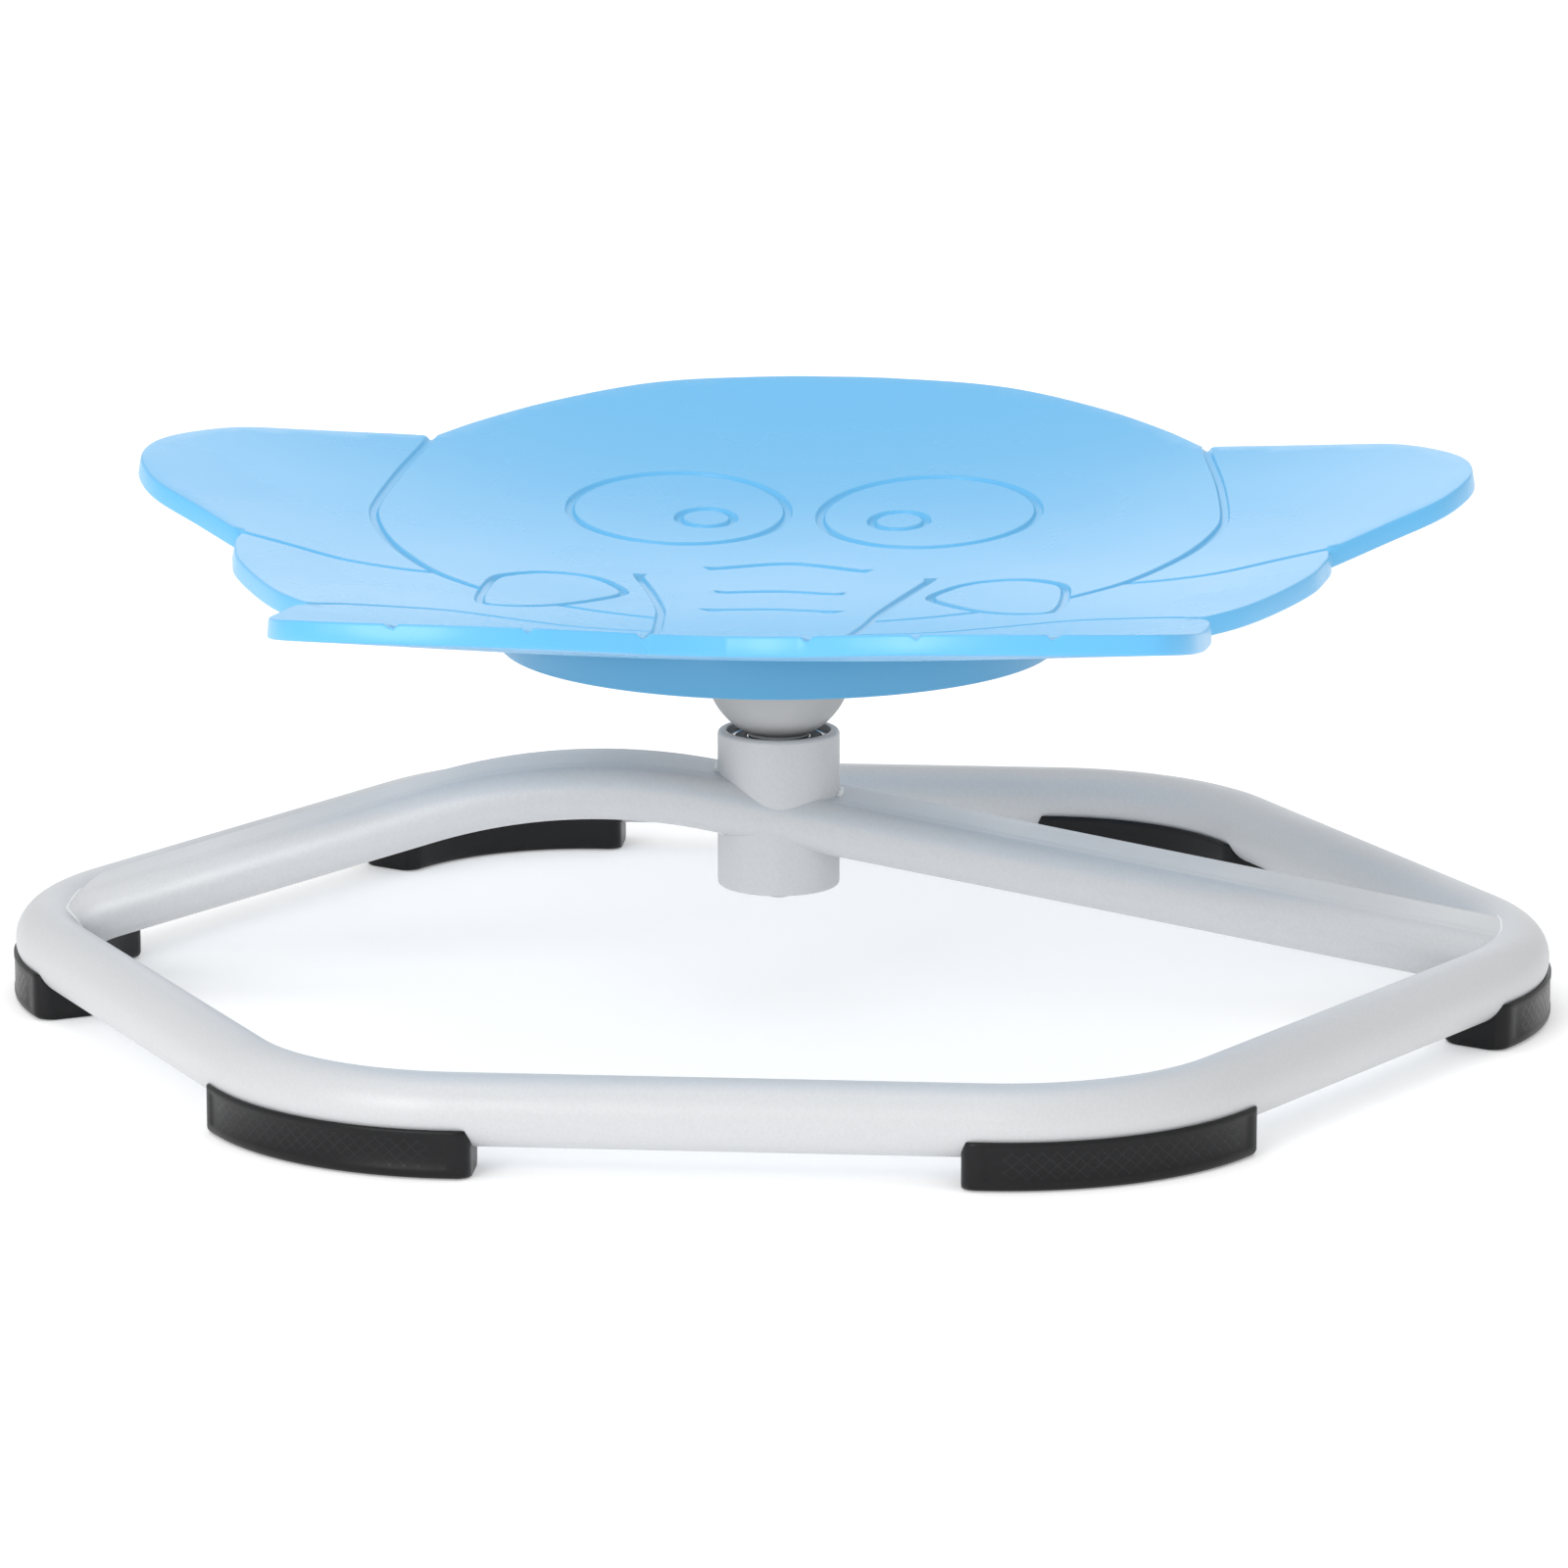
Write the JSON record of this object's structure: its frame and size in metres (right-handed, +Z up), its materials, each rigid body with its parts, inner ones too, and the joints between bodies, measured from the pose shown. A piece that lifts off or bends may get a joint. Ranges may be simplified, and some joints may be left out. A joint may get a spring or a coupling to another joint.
{
  "type": "merry go round",
  "caption": "Child's spinning seat: a dished animal-head board on a round disc and bearing hub, carried by a cross beam in a hexagonal tube base on rubber feet.",
  "frame": {"origin": "on the floor, under the vertical axis of the hub", "axes": "+Z up along the hub's axis; X along the cross beam; the seat board's front edge looks towards -Y"},
  "size_m": [0.6334, 0.5792, 0.2123],
  "materials": {
    "silver_paint": "satin silver-grey powder coat on steel",
    "grey_paint": "satin mid-grey powder coat",
    "blue_paint": "satin sky-blue solid plastic board",
    "black_rubber": "matt black rubber",
    "bearing_steel": "ground bearing steel",
    "zinc_steel": "zinc-plated steel"
  },
  "bodies": {
    "base": {"base_ring": "silver_paint", "beam_left": "silver_paint", "beam_right": "silver_paint", "hub_tube": "silver_paint", "foot_right": "black_rubber", "foot_back_right": "black_rubber", "foot_back_left": "black_rubber", "foot_left": "black_rubber", "foot_front_left": "black_rubber", "foot_front_right": "black_rubber", "foot_screw_right": "zinc_steel", "foot_screw_back_right": "zinc_steel", "foot_screw_back_left": "zinc_steel", "foot_screw_left": "zinc_steel", "foot_screw_front_left": "zinc_steel", "foot_screw_front_right": "zinc_steel", "upper_bearing_outer_race": "bearing_steel", "upper_bearing_top_seal": "black_rubber", "upper_bearing_bottom_seal": "black_rubber", "lower_bearing_outer_race": "bearing_steel", "lower_bearing_top_seal": "black_rubber", "lower_bearing_bottom_seal": "black_rubber"},
    "seat": {"pivot_bolt": "zinc_steel", "pivot_washer": "zinc_steel", "lock_nut": "zinc_steel", "half_ball_collar": "grey_paint", "bearing_spacer": "zinc_steel", "upper_bearing_inner_race": "bearing_steel", "lower_bearing_inner_race": "bearing_steel", "seat_disc": "blue_paint", "seat_plate": "zinc_steel", "seat_board": "blue_paint", "plate_screw_1": "zinc_steel", "plate_screw_2": "zinc_steel", "plate_screw_3": "zinc_steel", "plate_screw_4": "zinc_steel", "board_screw_1": "zinc_steel", "board_screw_2": "zinc_steel", "board_screw_3": "zinc_steel", "board_screw_4": "zinc_steel"},
    "upper_cage": {"upper_bearing_ball_cage": "bearing_steel"},
    "lower_cage": {"lower_bearing_ball_cage": "bearing_steel"}
  },
  "joints": [
    {"name": "seat_spin", "type": "hinge", "parent": "base", "child": "seat", "pos_m": [0, 0, 0.088], "axis": [0, 0, 1], "continuous": true},
    {"name": "upper_cage_roll", "type": "hinge", "parent": "base", "child": "upper_cage", "pos_m": [0, 0, 0.105], "axis": [0, 0, 1], "continuous": true},
    {"name": "lower_cage_roll", "type": "hinge", "parent": "base", "child": "lower_cage", "pos_m": [0, 0, 0.071], "axis": [0, 0, 1], "continuous": true}
  ],
  "couplings": [
    {"joint": "upper_cage_roll", "follows": "seat_spin", "ratio": 0.3976},
    {"joint": "lower_cage_roll", "follows": "seat_spin", "ratio": 0.3976}
  ]
}
